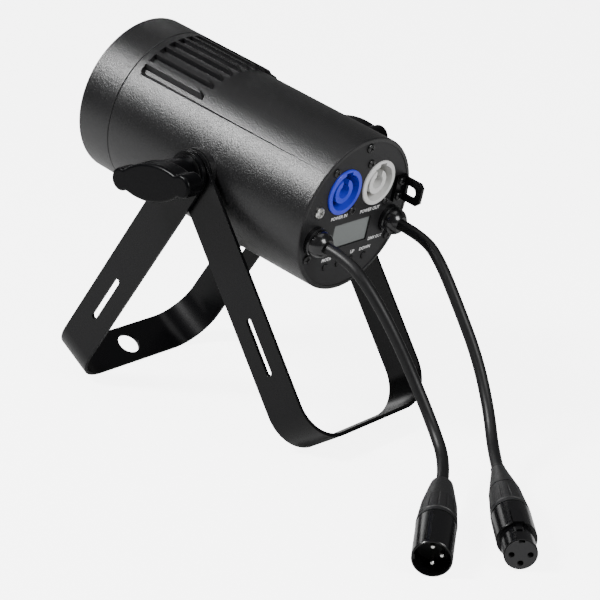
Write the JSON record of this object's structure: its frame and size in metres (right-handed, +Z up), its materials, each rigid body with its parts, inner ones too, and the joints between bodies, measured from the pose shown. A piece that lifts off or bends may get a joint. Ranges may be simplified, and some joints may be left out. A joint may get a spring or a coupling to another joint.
{
  "type": "par can light",
  "caption": "Short cylindrical LED par can spotlight on a two-yoke floor stand, with wing knobs, power sockets, display and two signal cable tails.",
  "frame": {"origin": "on the floor, under the middle of the lamp and stand without the cable tails", "axes": "+Z up, -Y the way the lens points (tilted up), +Y the rear panel side, X along the pivot line"},
  "size_m": [0.184, 0.3325, 0.1954],
  "materials": {
    "barrel_coat": "fine textured black powder coat on die-cast aluminium",
    "ring_coat": "black anodised look",
    "seal_rubber": "black moulded seal",
    "lens_glass": "clear domed glass",
    "reflector_aluminium": "bright spun reflector",
    "led_board": "white solder mask",
    "led_dome": "clear silicone over phosphor",
    "sink_aluminium": "plain cast aluminium",
    "board_green": "green solder mask",
    "component_black": "moulded black",
    "panel_coat": "dark satin powder coat",
    "screw_black": "black oxide",
    "screw_zinc": "bright zinc plate",
    "socket_blue": "moulded blue",
    "socket_grey": "moulded light grey",
    "brass": "plain",
    "display_black": "black bezel",
    "display_grey": "grey display pane",
    "button_black": "moulded black",
    "gland_black": "moulded nylon",
    "stand_coat": "satin black powder coat on steel",
    "washer_fibre": "black friction washer",
    "knob_black": "moulded nylon",
    "washer_steel": "blackened steel",
    "stud_steel": "zinc plated thread",
    "cable_jacket": "matt jacket",
    "plug_shell": "black chromate zinc",
    "insert_black": "moulded",
    "pin_silver": "silver plate",
    "boot_rubber": "moulded",
    "insert_grey": "moulded dark grey",
    "latch_black": "black latch"
  },
  "bodies": {
    "outer_yoke": {"outer_yoke": "stand_coat"},
    "barrel": {"barrel_shell": "barrel_coat", "front_hood": "barrel_coat", "lens_gasket": "seal_rubber", "front_lens": "lens_glass", "lens_ring": "ring_coat", "reflector": "reflector_aluminium", "led_board": "led_board", "led_emitter": "led_dome", "heat_sink": "sink_aluminium", "heat_sink_screws": "screw_black", "board_standoffs": "brass", "driver_board": "board_green", "driver_components": "component_black", "supply_board": "board_green", "supply_components": "component_black", "rear_panel": "panel_coat", "panel_screws": "screw_black", "socket_screws": "screw_black", "ground_screw": "screw_zinc", "power_inlet": "socket_blue", "power_outlet": "socket_grey", "power_inlet_core": "socket_blue", "power_outlet_core": "socket_grey", "socket_contacts": "brass", "display_module": "display_black", "display_window": "display_grey", "display_board": "board_green", "button_switches": "component_black", "gland_left": "gland_black", "gland_right": "gland_black", "gland_nuts": "gland_black", "safety_eye": "stand_coat", "eye_screws": "screw_black", "barrel_washers": "washer_fibre", "cable_left": "cable_jacket", "cable_right": "cable_jacket", "male_shell": "plug_shell", "male_insert": "insert_black", "male_pins": "pin_silver", "male_boot": "boot_rubber", "female_shell": "plug_shell", "female_insert": "insert_grey", "female_latch": "latch_black", "female_boot": "boot_rubber"},
    "inner_yoke": {"inner_yoke": "stand_coat", "yoke_washers": "washer_fibre"},
    "knob_left": {"knob_left": "knob_black", "knob_washer_left": "washer_steel", "pivot_stud_left": "stud_steel"},
    "knob_right": {"knob_right": "knob_black", "knob_washer_right": "washer_steel", "pivot_stud_right": "stud_steel"},
    "button_mode": {"button_mode": "button_black"},
    "button_enter": {"button_enter": "button_black"},
    "button_up": {"button_up": "button_black"},
    "button_down": {"button_down": "button_black"}
  },
  "joints": [
    {"name": "barrel_tilt", "type": "hinge", "parent": "outer_yoke", "child": "barrel", "pos_m": [0, 0.00899, 0.1341], "axis": [1, 0, 0], "range_deg": [-15, 100]},
    {"name": "yoke_spread", "type": "hinge", "parent": "outer_yoke", "child": "inner_yoke", "pos_m": [0, 0.00899, 0.1341], "axis": [1, 0, 0], "range_deg": [-67, 12]},
    {"name": "knob_left_turn", "type": "hinge", "parent": "outer_yoke", "child": "knob_left", "pos_m": [0, 0.00899, 0.1341], "axis": [1, 0, 0], "continuous": true},
    {"name": "knob_right_turn", "type": "hinge", "parent": "outer_yoke", "child": "knob_right", "pos_m": [0, 0.00899, 0.1341], "axis": [1, 0, 0], "continuous": true},
    {"name": "button_mode_press", "type": "slide", "parent": "barrel", "child": "button_mode", "axis": [0, -0.9728, 0.2317], "range_m": [0, 0.0005], "stiffness_N_per_m": 400},
    {"name": "button_enter_press", "type": "slide", "parent": "barrel", "child": "button_enter", "axis": [0, -0.9728, 0.2317], "range_m": [0, 0.0005], "stiffness_N_per_m": 400},
    {"name": "button_up_press", "type": "slide", "parent": "barrel", "child": "button_up", "axis": [0, -0.9728, 0.2317], "range_m": [0, 0.0005], "stiffness_N_per_m": 400},
    {"name": "button_down_press", "type": "slide", "parent": "barrel", "child": "button_down", "axis": [0, -0.9728, 0.2317], "range_m": [0, 0.0005], "stiffness_N_per_m": 400}
  ]
}
